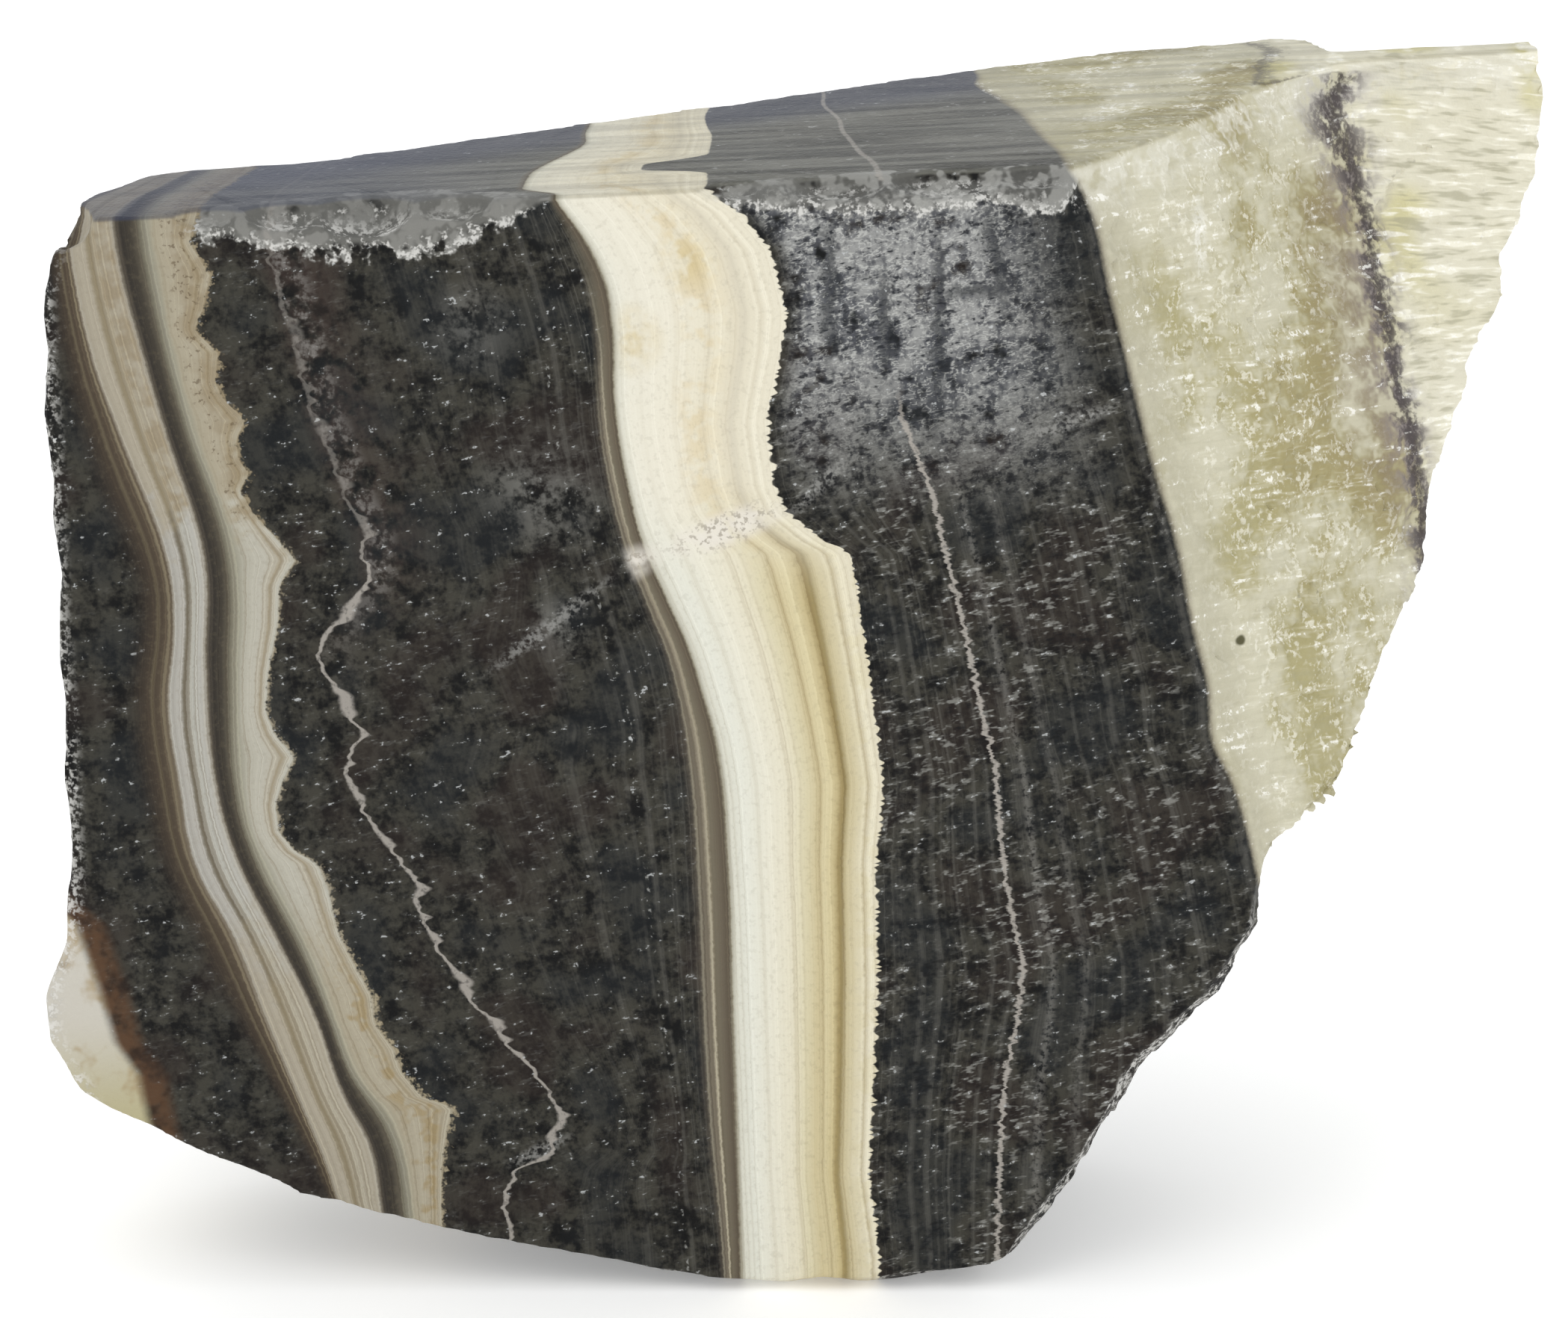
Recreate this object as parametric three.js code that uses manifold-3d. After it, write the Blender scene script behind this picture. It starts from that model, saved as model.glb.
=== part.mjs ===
// A banded calcite specimen: one broken slab of layered stone with a sawn front face and a sawn
// top face. Its other sides are rough breaks, and it stands on a small flat spot under the middle.
// Millimetres, +Z up, the sawn front towards -Y, origin at the middle of the underside.
import * as THREE from 'three';
import { ImprovedNoise } from 'three/addons/math/ImprovedNoise.js';
import { mergeVertices } from 'three/addons/utils/BufferGeometryUtils.js';
import Module from 'manifold-3d';

// Sawn faces and the resting spot
const frontFace = -19; // y of the upright sawn face
const topFace = 80.6; // height of the sawn top above x = 0
const topClimb = 0.05; // rise of the sawn top for each millimetre to the right
const restingLevel = 3.2; // height at which the underside is flat

// Outline seen from the front, anticlockwise from the top left corner: x, z, the width of the
// crushed rim on the front face, and how far the side leans in for each millimetre further back.
// All of it is moved towards the heart of the stone
const heart = { x: 0, z: 45 };
const outline = [
  [-47.2, 88, 0.4, 0.28],
  [-48, 77.4, 0.5, 0.25],
  [-49.1, 72, 0.6, 0.22],
  [-49, 63, 0.8, 0.18],
  [-48.6, 54, 0.7, 0.16],
  [-48.8, 50.5, 0.7, 0.16],
  [-48.3, 38, 0.6, 0.14],
  [-48.2, 32, 0.4, 0.1],
  [-48.6, 28.2, 0.4, 0.08],
  [-50, 24.4, 0.3, 0.06],
  [-49.7, 21, 0.4, 0.06],
  [-47.8, 17.5, 0.5, 0.06],
  [-42, 14, 0.6, 0.1],
  [-33, 10, 0.6, 0.1],
  [-23, 7.4, 0.5, 0.04],
  [-15.8, 5.9, 0.5, -0.04],
  [-8, 4.5, 0.5, -0.14],
  [-2.5, 3.7, 0.5, -0.2],
  [5.5, 3.7, 0.6, -0.2],
  [11, 4.3, 0.8, -0.16],
  [15.2, 4.7, 1.2, -0.08],
  [17.6, 7.4, 1.8, 0],
  [20.9, 11.9, 2.2, 0.04],
  [24.8, 19.1, 2, 0.05],
  [29.7, 24.1, 1.6, 0.05],
  [31.9, 29.2, 1.2, 0.03],
  [32.8, 34.2, 0.8, 0],
  [37.4, 36.8, 0, 0],
  [39.9, 41, 0, 0],
  [42.2, 46.6, 0, 0],
  [44.2, 49.4, 0, 0],
  [44.6, 53, 0, 0],
  [45.6, 57.4, 0, 0],
  [47.7, 62.3, 0, 0],
  [50.2, 66.2, 0, 0],
  [49.8, 68.4, 0, 0],
  [51.9, 74.1, 0, 0],
  [52.5, 80.3, 0, 0],
  [51.4, 84.2, 0, 0],
  [50, 88, 0, 0],
];
const outlineStep = 2.3; // spacing of the points along the outline
const rimDepth = 2; // how far behind the sawn front the crushed rim ends
const roundedBack = { from: 10, curve: 0.035 }; // y behind which the side walls curve inwards
const wallRelief = { share: 0.55, full: 9 }; // part of the broken relief, and where it is reached
const raggedEdge = { size: 3.1, height: 0.35 };
const ringDepths = [
  -25, -19.4, -17.4, -15.2, -13, -10.8, -8.5, -6, -3.5, -1, 1.5, 4, 6.5, 9, 11.5, 14, 16.5, 19, 22, 26, 32,
];

// Broken right face: where it leaves the sawn front (z, x), and its depth behind the sawn front
// for each millimetre to the right of that line, near the top and lower down
const rightCrease = [[33.5, 31.5], [42, 28.5], [50.5, 27], [61, 24.3], [73, 21.3], [79, 19.7], [82, 17.4]];
const rightDepthHigh = [[-20, -6], [0, 0], [9, 10.5], [14, 21.5], [20, 29], [34, 29.5], [60, 30]];
const rightDepthLow = [[-20, -6], [0, 0], [9, 8.5], [14, 14.5], [20, 21], [34, 33], [60, 50]];
const rightBlend = [58, 78]; // heights between which the low shape turns into the high one
const rightRelief = { share: 0.5, full: 8, calmFlange: 0.8, flange: [14, 22] };
const fibres = { size: 3.2, height: 0.8, stretch: 4, climb: 0.25 }; // they run across and rise to the right

// Back edge of the sawn top (x, y), and how fast the back bulges out below it
const topBackEdge = [
  [-48.2, -20], [-45.4, -11], [-41.4, -6.3], [-31.4, -5.6], [-16.4, 0.6], [2.7, 8.2],
  [13.5, 13], [24.5, 16.6], [30.5, 16.8], [35.6, 19], [38, 12.6], [52, 13],
];
const topBackBulge = [[-48, 0.5], [-40, 0.35], [0, 0.25], [34, 0.12], [38, 0.4], [52, 0.6]];
// Broad flat breaks of the back as y = at + perX * x + perZ * z, the stone lying in front of all
const backBreaks = [
  { at: 23.2, perX: -0.02, perZ: -0.05 },
  { at: 21.2, perX: 0.5, perZ: 0.02 },
  { at: 12.7, perX: 0.3, perZ: 0.35 },
  { at: 17.4, perX: -0.45, perZ: 0.3 },
  { at: 4.4, perX: 0.04, perZ: 0.7 },
  { at: 47, perX: -0.64, perZ: 0 },
];
const backRoughFrom = 7; // how far below the sawn top the back has its full relief
const gridCell = 2; // spacing of the points on the broken faces
const gridJitter = { size: 3.7, shift: 0.75 };

// Relief of a broken face, which is drawn out upwards because the stone splits along its layers
const layerStretch = 1.5;
const swells = { size: 24, height: 0.8 };
const bigFacets = { size: 14, height: 1.7 };
const smallFacets = { size: 7, height: 1.2 };
const crumbs = { size: 4.3, height: 0.3 };

// Chips crushed out of the front top edge: x, and their width, depth and height. The first one
// takes off the corner
const edgeChips = [
  [-49, 8, 7, 5],
  [-37.6, 5, 1.6, 2.2],
  [-32.6, 6.4, 2.2, 3.2],
  [-27.6, 7.5, 2.8, 4.6],
  [-21.8, 6, 1.8, 2.8],
  [-3.4, 5, 1.6, 1.8],
  [3.2, 8, 2, 2.6],
  [10.4, 9, 2.2, 2.8],
  [16.4, 6, 2, 2.4],
];

const stoneMaterial = new THREE.MeshStandardMaterial({ color: 0x8f8b7d, roughness: 0.62, metalness: 0 });

const noise = new ImprovedNoise();
const { lerp, smoothstep } = THREE.MathUtils;
const wasm = await Module();
wasm.setup();

// Value between hand-chosen stops of [place, value], straight from one to the next
function between(stops, place) {
  let next = 1;
  while (next < stops.length - 1 && place > stops[next][0]) next += 1;
  const [fromPlace, fromValue] = stops[next - 1];
  const [toPlace, toValue] = stops[next];
  const share = THREE.MathUtils.clamp((place - fromPlace) / (toPlace - fromPlace), 0, 1);
  return lerp(fromValue, toValue, share);
}

// Swellings and hollows of about the given size, between -1 and 1
function lumps(x, y, z, size) {
  return 1.4 * noise.noise(x / size + 11.3, y / size + 4.7, z / size + 8.1);
}

// Random value between -1 and 1 that belongs to a numbered cell of space
function chance(i, j, k, row) {
  return 1.6 * noise.noise(i * 7.31 + row * 3.77 + 0.43, j * 5.17 + 0.61, k * 6.53 + 0.29);
}

// Stepped facets about the given size across, as crystals leave where they split
function splitFacets(x, y, z, size) {
  let near = { distance: Infinity };
  let next = near;
  for (let step = 0; step < 27; step += 1) {
    const i = Math.floor(x / size) + (step % 3) - 1;
    const j = Math.floor(y / size) + (Math.floor(step / 3) % 3) - 1;
    const k = Math.floor(z / size) + Math.floor(step / 9) - 1;
    const offX = x / size - i - 0.5 - 0.45 * chance(i, j, k, 1);
    const offY = y / size - j - 0.5 - 0.45 * chance(i, j, k, 2);
    const offZ = z / size - k - 0.5 - 0.45 * chance(i, j, k, 3);
    const distance = offX ** 2 + offY ** 2 + offZ ** 2;
    const tilt = offX * chance(i, j, k, 4) + offY * chance(i, j, k, 5) + offZ * chance(i, j, k, 6);
    const facet = { distance, height: 0.5 * chance(i, j, k, 7) + tilt };
    if (distance < near.distance) {
      next = near;
      near = facet;
    } else if (distance < next.distance) {
      next = facet;
    }
  }
  const inside = smoothstep(next.distance - near.distance, 0, 0.3);
  return lerp((near.height + next.height) / 2, near.height, inside);
}

// Relief of a broken surface in millimetres
function brokenRelief(x, y, z) {
  const up = z / layerStretch;
  const facets = bigFacets.height * splitFacets(x, y, up, bigFacets.size)
    + smallFacets.height * splitFacets(x, y, up, smallFacets.size);
  return facets + swells.height * lumps(x, y, z, swells.size) + crumbs.height * lumps(x, y, z, crumbs.size);
}

// Points at even steps along the outline, each with its direction away from the heart
function walkOutline() {
  const path = [];
  outline.forEach((start, index) => {
    const end = outline[(index + 1) % outline.length];
    const length = Math.hypot(end[0] - start[0], end[1] - start[1]);
    const count = Math.max(1, Math.round(length / outlineStep));
    for (let step = 0; step < count; step += 1) {
      const [x, z, rim, lean] = start.map((value, column) => lerp(value, end[column], step / count));
      const reach = Math.hypot(x - heart.x, z - heart.z);
      path.push({ x, z, rim, lean, outX: (x - heart.x) / reach, outZ: (z - heart.z) / reach });
    }
  });
  return path;
}

// How far a point of the side wall lies inside the front outline at depth y
function wallInset(point, y) {
  const behind = Math.max(0, y - frontFace);
  const rim = point.rim * (1 - smoothstep(behind, 0, rimDepth));
  const rounding = roundedBack.curve * Math.max(0, y - roundedBack.from) ** 2;
  const rough = wallRelief.share * smoothstep(behind, 0, wallRelief.full);
  const ragged = raggedEdge.height * lumps(point.x, y, point.z, raggedEdge.size);
  return rim + point.lean * behind + rounding + rough * brokenRelief(point.x, y, point.z) + ragged;
}

// The stone's side walls, with flat ends that the other faces cut away
function sideWalls() {
  const path = walkOutline();
  const positions = [];
  for (const y of ringDepths) {
    for (const point of path) {
      const inset = wallInset(point, y);
      positions.push(point.x - point.outX * inset, y, point.z - point.outZ * inset);
    }
  }
  const triangles = [];
  const count = path.length;
  for (let ring = 0; ring < ringDepths.length - 1; ring += 1) {
    for (let index = 0; index < count; index += 1) {
      const a = ring * count + index;
      const b = ring * count + (index + 1) % count;
      triangles.push(a, b + count, b, a, a + count, b + count);
    }
  }
  for (const ring of [0, ringDepths.length - 1]) {
    const first = ring * count;
    const ends = path.map((point, index) => {
      const at = 3 * (first + index);
      return new THREE.Vector2(positions[at], positions[at + 2]);
    });
    for (const [a, b, c] of THREE.ShapeUtils.triangulateShape(ends, [])) {
      triangles.push(first + a, first + (ring ? c : b), first + (ring ? b : c));
    }
  }
  const walls = new THREE.BufferGeometry();
  walls.setAttribute('position', new THREE.Float32BufferAttribute(positions, 3));
  walls.setIndex(triangles);
  return walls;
}

// Block with the three flat faces: sawn front, sawn top and the resting spot
function sawnBlock() {
  const reach = 70;
  const shape = new THREE.Shape([
    new THREE.Vector2(-reach, restingLevel),
    new THREE.Vector2(reach, restingLevel),
    new THREE.Vector2(reach, topFace + topClimb * reach),
    new THREE.Vector2(-reach, topFace - topClimb * reach),
  ]);
  const block = new THREE.ExtrudeGeometry(shape, { depth: reach, bevelEnabled: false });
  block.rotateX(Math.PI / 2);
  return block.translate(0, frontFace + reach, 0);
}

// Block with one rough side, y = roughY(x, z), and a flat one at flatY
function roughBlock(roughY, flatY) {
  const width = 116;
  const height = 98;
  const middle = 41;
  const across = Math.round(width / gridCell);
  const up = Math.round(height / gridCell);
  const block = new THREE.BoxGeometry(width, 2, height, across, 1, up);
  const roughSide = Math.sign(roughY(0, middle) - flatY);
  const place = block.attributes.position;
  for (let index = 0; index < place.count; index += 1) {
    const gridX = place.getX(index);
    const gridZ = place.getZ(index) + middle;
    const x = gridX + gridJitter.shift * lumps(gridX, 3, gridZ, gridJitter.size);
    const z = gridZ + gridJitter.shift * lumps(gridX, 30, gridZ, gridJitter.size);
    const rough = Math.sign(place.getY(index)) === roughSide;
    place.setXYZ(index, x, rough ? roughY(x, z) : flatY, z);
  }
  return block;
}

// y of the broken back
function backY(x, z) {
  const below = topFace + topClimb * x - z;
  const edge = between(topBackEdge, x) + Math.max(0, below) * between(topBackBulge, x);
  const breaks = backBreaks.map(({ at, perX, perZ }) => at + perX * x + perZ * z);
  const rough = smoothstep(below, 0, backRoughFrom);
  const ragged = raggedEdge.height * lumps(x, 0, z, raggedEdge.size);
  return Math.min(edge, ...breaks) + rough * brokenRelief(x, 0, z) + ragged;
}

// y of the broken right face
function rightFaceY(x, z) {
  const beyond = x - between(rightCrease, z);
  const high = smoothstep(z, ...rightBlend);
  const depth = lerp(between(rightDepthLow, beyond), between(rightDepthHigh, beyond), high);
  const grooves = fibres.height * lumps(x / fibres.stretch, 5, z - fibres.climb * x, fibres.size);
  const calm = 1 - rightRelief.calmFlange * high * smoothstep(beyond, ...rightRelief.flange);
  const relief = rightRelief.share * calm * brokenRelief(x, -20, z);
  return frontFace + depth + (grooves + relief) * smoothstep(beyond, 0, rightRelief.full);
}

// One faceted chip out of the front top edge, each turned its own way
function edgeChip([x, width, depth, height], index) {
  const chip = new THREE.IcosahedronGeometry(1, 1);
  chip.rotateX(index * 1.7);
  chip.rotateZ(index * 2.3);
  chip.scale(width / 2, depth, height / 2);
  return chip.translate(x, frontFace, topFace + topClimb * x);
}

function toSolid(geometry) {
  geometry.deleteAttribute('normal');
  geometry.deleteAttribute('uv');
  const merged = mergeVertices(geometry, 1e-4);
  return new wasm.Manifold(new wasm.Mesh({
    numProp: 3,
    vertProperties: new Float32Array(merged.attributes.position.array),
    triVerts: new Uint32Array(merged.index.array),
  }));
}

function toGeometry(solid) {
  const { vertProperties, triVerts } = solid.getMesh();
  const geometry = new THREE.BufferGeometry();
  geometry.setAttribute('position', new THREE.BufferAttribute(vertProperties, 3));
  geometry.setIndex(new THREE.BufferAttribute(triVerts, 1));
  return geometry;
}

// The whole stone: what lies inside its walls, its sawn faces and its two broken faces
function bandedCalcite() {
  const wellAhead = frontFace - 15;
  const wellBehind = 45;
  let stone = toSolid(sideWalls())
    .intersect(toSolid(sawnBlock()))
    .intersect(toSolid(roughBlock(backY, wellAhead)))
    .intersect(toSolid(roughBlock(rightFaceY, wellBehind)));
  edgeChips.forEach((chip, index) => {
    stone = stone.subtract(toSolid(edgeChip(chip, index)));
  });
  const geometry = toGeometry(stone);
  geometry.computeBoundingBox();
  const { min, max } = geometry.boundingBox;
  geometry.translate(-(min.x + max.x) / 2, -(min.y + max.y) / 2, -min.z);
  const mesh = new THREE.Mesh(geometry, stoneMaterial);
  mesh.name = 'banded_calcite';
  return mesh;
}

const specimen = new THREE.Group();
specimen.add(bandedCalcite());

export default specimen;
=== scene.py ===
# Banded calcite specimen: a broken slab with a sawn front and a sawn top, standing on a pale floor.
# Objects are in metres. Places on the stone are in millimetres in the drawing frame, which is the
# frame of the model moved by stoneSetup["drawingShift"].
import math
import bpy
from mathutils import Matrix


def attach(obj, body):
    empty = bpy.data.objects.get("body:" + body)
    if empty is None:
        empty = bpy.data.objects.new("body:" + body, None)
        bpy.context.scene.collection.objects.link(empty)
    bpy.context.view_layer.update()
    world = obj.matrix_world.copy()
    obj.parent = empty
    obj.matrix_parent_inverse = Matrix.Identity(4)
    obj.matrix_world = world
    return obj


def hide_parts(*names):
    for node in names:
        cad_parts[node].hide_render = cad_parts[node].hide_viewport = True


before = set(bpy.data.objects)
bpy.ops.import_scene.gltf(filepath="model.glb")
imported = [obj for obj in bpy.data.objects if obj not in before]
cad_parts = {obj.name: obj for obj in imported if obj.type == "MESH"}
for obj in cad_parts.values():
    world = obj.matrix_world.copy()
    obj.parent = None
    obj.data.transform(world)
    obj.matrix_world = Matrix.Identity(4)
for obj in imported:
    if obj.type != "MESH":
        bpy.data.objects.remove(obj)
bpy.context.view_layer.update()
mm = 0.001
print("frame loaded")

stoneSetup = {
    "drawingShift": (1.37, 1.63, 3.2),  # drawing frame minus model frame
    "frontFace": -19.0,                 # depth of the sawn front in the drawing frame
    "topFace": 80.6,                    # height of the sawn top at x = 0
    "topClimb": 0.05,                   # its rise for each millimetre to the right
    "acrossSpan": (-60, 60),            # how far the curves below reach from left to right,
    "heightSpan": (0, 90),              # upwards,
    "depthSpan": (0, 42),               # and behind the sawn front
    "voxel": 0.36,
    "mostTriangles": 190000,
}

# Where the layers meet the sawn front: (height, across) in millimetres, from left to right
layerEdges = {
    "thinBandsFringe": [(0, -28), (10, -31.2), (20, -36), (31, -41.4), (45, -44.2), (53, -43.6),
                        (61, -46.4), (76, -48.8)],
    "band1Left": [(0, -28), (9, -30.1), (11.7, -30.8), (17.3, -32.8), (23, -34.9), (28.5, -36.8),
                  (34, -39.4), (39.6, -40.3), (45, -40.9), (50.5, -40.4), (55, -40.7), (64, -43.7),
                  (69, -45.3), (78, -46.8)],
    "band1Right": [(0, -26), (9, -27.3), (14, -28.1), (17.3, -29.7), (23.5, -31.7), (29, -34.2),
                   (34.6, -36.7), (39.6, -37.9), (47.8, -38.4), (55, -38.3), (64, -40.7), (69, -42),
                   (75, -43.4), (78, -43.8)],
    "band2Left": [(0, -25.2), (8.3, -25.3), (15, -26.5), (19.2, -29.1), (23, -30.4), (27.8, -32.1),
                  (34.6, -35.2), (38, -36.1), (47.3, -36.4), (52.7, -36.2), (56.5, -36.6),
                  (64.7, -39.1), (75, -41.2), (79, -41.7)],
    "band2Right": [(0, -23.2), (9.7, -23.2), (12.6, -23.1), (15, -22.7), (16.7, -22.2), (17.2, -24.2),
                   (19.2, -25.8), (20.7, -26.2), (22.6, -27.5), (24.5, -27.6), (26.8, -28.8),
                   (29, -29.8), (32.4, -30.5), (34, -31.1), (34.8, -32.6), (36.2, -33.7), (38, -33.9),
                   (39.7, -33.4), (41.5, -32.5), (43, -33.8), (44.5, -34.4), (47.3, -34.2),
                   (50.6, -33.5), (53.5, -33.3), (55.2, -32.2), (57.8, -34.5), (58.9, -35.3),
                   (60, -35.9), (61, -35.1), (62, -35.9), (63.5, -36), (64.7, -35.3), (66.2, -36.8),
                   (67.3, -37.3), (69.3, -37), (70.8, -38.6), (72.4, -37.9), (74.6, -37.4),
                   (76.7, -38.7), (79.2, -38.3)],
    "vein1": [(0, -18.6), (7.4, -18.6), (10.5, -18.9), (12.2, -18.1), (13.5, -15.3), (14.5, -15.9),
              (15.6, -14.9), (16.8, -15.4), (19, -16.7), (21.8, -19), (24.6, -21.1), (28.5, -23.4),
              (31.3, -24.7), (32.4, -24.3), (33.5, -25.2), (36.3, -27.2), (38.5, -28.3), (40.7, -29.4),
              (41.8, -28.8), (43.4, -27.9), (44.3, -28.7), (46.2, -29.7), (48.4, -31), (49.7, -30.7),
              (51.1, -29.2), (53.8, -27.4), (55.4, -27.7), (57, -27.5), (59.2, -28.7), (61.3, -29.4),
              (65, -30.9), (70.4, -32.1), (74.6, -33.3), (77.2, -33.8)],
    "mainFringe": [(0, -4.5), (4.8, -4.7), (17, -6), (31, -6.7), (40, -7.2), (48, -8.3), (51.6, -9.6),
                   (56, -11.1), (62.4, -12.5), (69.8, -13.3), (73, -14.1), (76.2, -15.1), (79.2, -16.1)],
    "mainLeft": [(0, -2.8), (4.8, -2.9), (23, -3.4), (34, -3.7), (42, -4.4), (46, -5.4), (49.3, -6.4),
                 (52.6, -7.8), (56, -9.2), (59, -10), (66, -11.1), (71, -11.2), (74.7, -11.9),
                 (79.6, -14.9)],
    "mainRight": [(0, 6.5), (6, 6.3), (11.7, 5.6), (18.5, 5.9), (25.7, 6.1), (34, 6), (39.6, 6.5),
                  (46, 5.7), (51.6, 4.9), (54.5, 4.5), (55.7, 4.1), (56.4, 2.6), (58.4, 0),
                  (60.2, -0.8), (64.5, -1.3), (69.3, -0.3), (72, 0), (76.2, -1), (78.8, -3.1),
                  (80.2, -5.4), (81.7, -6.1)],
    "vein2": [(0, 14.4), (11.7, 14.6), (17.3, 14.8), (19.6, 15.1), (23.5, 15.8), (26.9, 16.1),
              (30.2, 15.3), (34, 14.7), (36.8, 14.4), (40.7, 14.1), (44, 13.3), (47.8, 12.5),
              (51.6, 11.7), (56, 10.6), (59.7, 9.8), (63, 8.5), (65, 7.7), (80, 6.4)],
    "paleEdge": [(0, 37), (20, 34), (33.5, 31.5), (39.6, 29.8), (42.3, 28.5), (46.2, 28.1), (50.5, 27),
                 (56, 25.9), (61.3, 24.3), (66.7, 22.9), (73, 21.3), (79.3, 19.7), (82.2, 17.9)],
    "paleLine": [(0, 46), (30, 45), (48.8, 43.5), (54.3, 42.9), (58.6, 42.3), (62.8, 40.9),
                 (66.7, 40.1), (71.4, 39.5), (76.6, 37.8), (79.7, 37), (82, 36.7), (82.1, 30), (84, 30)],
}
leftRim = [(0, -48), (17.5, -47.8), (21, -49.7), (24.4, -50), (28.2, -48.8), (38, -48.4), (50.5, -48.8),
           (63, -49), (72, -49.1), (77.4, -48), (90, -47)]
lobeEdge = [(0, -41), (14, -42.5), (16.2, -42.9), (19, -43.4), (21.3, -44.9), (25.2, -45.9),
            (29.7, -47.3), (33, -51), (38, -56)]
# How the layers lean away behind the front: how far for each x, and how much of it by depth. A
# curve's reach is the range that its values lie in
leanAcross = [(-60, 14), (-47, 12), (-41, 9.5), (-38, 7.5), (-25, 4.5), (-14, 2.6), (-6, 0.4),
              (8, -4.8), (18, -4.1), (26, -1.5), (32, 0), (60, 0)]
leanByDepth = [(0, 0), (3, 0.05), (5, 0.1), (8, 0.25), (10, 0.35), (12, 0.47), (15, 0.66), (19, 0.88),
               (24, 1), (42, 1.15)]
leanReach, leanByDepthReach = (-10, 15), (0, 1.2)
# How deep the front top edge is crushed: (across, depth)
crushedTop = [(-60, 0.8), (-48, 0.8), (-42, 0.3), (-39, 1), (-36, 1.8), (-32, 2.2), (-28, 2.8),
              (-24, 2.8), (-21, 2.2), (-17, 1.1), (-14, 0.2), (-7, 0.1), (-4, 1), (2, 1.7), (8, 2),
              (13, 1.6), (17, 2.2), (20, 0.7), (60, 0.5)]
crushedReach = (0, 4)
# Marks on the stone as seen from the front, as (across, height) in millimetres
frontMarks = {
    "crack": [((-15.2, 52.7), (-7.8, 55.9)), ((-8, 55.7), (0.3, 58.9))],
    "streaks": [((-10.6, 54.6), (-20.3, 46.8)), ((0, 58), (4.5, 62.4)), ((14.6, 63), (22.4, 65.9)),
                ((-18.4, 12.5), (-14.6, 14.5))],
    "glows": [(-15, 50.5, 2.6), (-16, 60, 5), (-20.5, 71, 3.5), (3.5, 61.5, 2.2)],  # with their radius
    "tanPatches": [(-10.3, 70.2, 2.8), (-6.4, 75.4, 2.4)],
    "specks": [(30.5, 48.5, 0.5)],
    "darkLines": [((5.1, 67), (5.1, 81)), ((8.6, 67.5), (8.6, 76.5)), ((12.2, 62), (12.2, 81)),
                  ((12, 74.2), (17.9, 74.4)), ((16.8, 72), (15.2, 80.5))],
    "paleCracks": [((27.3, 79), (27.9, 71.5))],
    "pastEnds": 0.8,         # how far a streak fades out past its ends
    "depth": 3.0,            # how far a mark reaches in behind the front
    "rightFaceDepth": 16.0,  # the same for marks on the right face, which stands back
}


# Shader node helpers

def feed(tree, value, socket):
    if isinstance(value, bpy.types.NodeSocket):
        tree.links.new(value, socket)
    else:
        socket.default_value = value


def addNode(tree, kind, sockets=None, **settings):
    made = tree.nodes.new("ShaderNode" + kind)
    count = len(tree.nodes)
    made.location = (190 * (count // 8), -190 * (count % 8))
    for name, value in settings.items():
        setattr(made, name, value)
    for name, value in (sockets or {}).items():
        feed(tree, value, made.inputs[name])
    return made


def calc(tree, operation, first, second=0.0, third=0.0, clamp=False):
    made = addNode(tree, "Math", operation=operation, use_clamp=clamp)
    for socket, value in zip(made.inputs, (first, second, third)):
        feed(tree, value, socket)
    return made.outputs[0]


def times(tree, *masks):
    result = masks[0]
    for mask in masks[1:]:
        result = calc(tree, "MULTIPLY", result, mask)
    return result


# A soft step of the value from start at low to end at high; low may be above high
def ease(tree, value, low, high, start=0.0, end=1.0):
    made = addNode(tree, "MapRange", {"Value": value, "From Min": low, "From Max": high,
                                      "To Min": start, "To Max": end}, interpolation_type="SMOOTHSTEP")
    return made.outputs[0]


def between(tree, value, rises, falls):
    return times(tree, ease(tree, value, *rises), ease(tree, value, falls[1], falls[0]))


# Where a value lies between low and high, from 0 to 1
def share(tree, value, low, high):
    return addNode(tree, "MapRange", {"Value": value, "From Min": low, "From Max": high}).outputs[0]


def spread(tree, part, low, high):
    return calc(tree, "MULTIPLY_ADD", part, high - low, low)


def split(tree, place):
    return addNode(tree, "SeparateXYZ", {"Vector": place}).outputs


# A web colour as the linear values that the sockets take
def colour(code):
    channels = [int(code[i:i + 2], 16) / 255 for i in (0, 2, 4)]
    return [c / 12.92 if c <= 0.04045 else ((c + 0.055) / 1.055) ** 2.4 for c in channels] + [1.0]


def mixColour(tree, part, first, second, mode="MIX"):
    made = addNode(tree, "Mix", data_type="RGBA", blend_type=mode, clamp_factor=True)
    feed(tree, part, made.inputs[0])
    feed(tree, colour(first) if isinstance(first, str) else first, made.inputs[6])
    feed(tree, colour(second) if isinstance(second, str) else second, made.inputs[7])
    return made.outputs[2]


def grain(tree, place, scale, detail=2.0, roughness=0.6):
    made = addNode(tree, "TexNoise", {"Vector": place, "Scale": scale, "Detail": detail,
                                      "Roughness": roughness})
    return made.outputs[0]


def lineGrain(tree, along, scale, detail=2.0, roughness=0.6):
    made = addNode(tree, "TexNoise", noise_dimensions="1D")
    for name, value in (("W", along), ("Scale", scale), ("Detail", detail), ("Roughness", roughness)):
        feed(tree, value, made.inputs[name])
    return made.outputs[0]


def ramp(tree, place, stops):
    low, high = stops[0][0], stops[-1][0]
    made = addNode(tree, "ValToRGB")
    tree.links.new(share(tree, place, low, high), made.inputs[0])
    band = made.color_ramp
    while len(band.elements) < len(stops):
        band.elements.new(0.5)
    for element, (at, code) in zip(band.elements, stops):
        element.position = (at - low) / (high - low)
        element.color = colour(code)
    return made.outputs[0]


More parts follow.
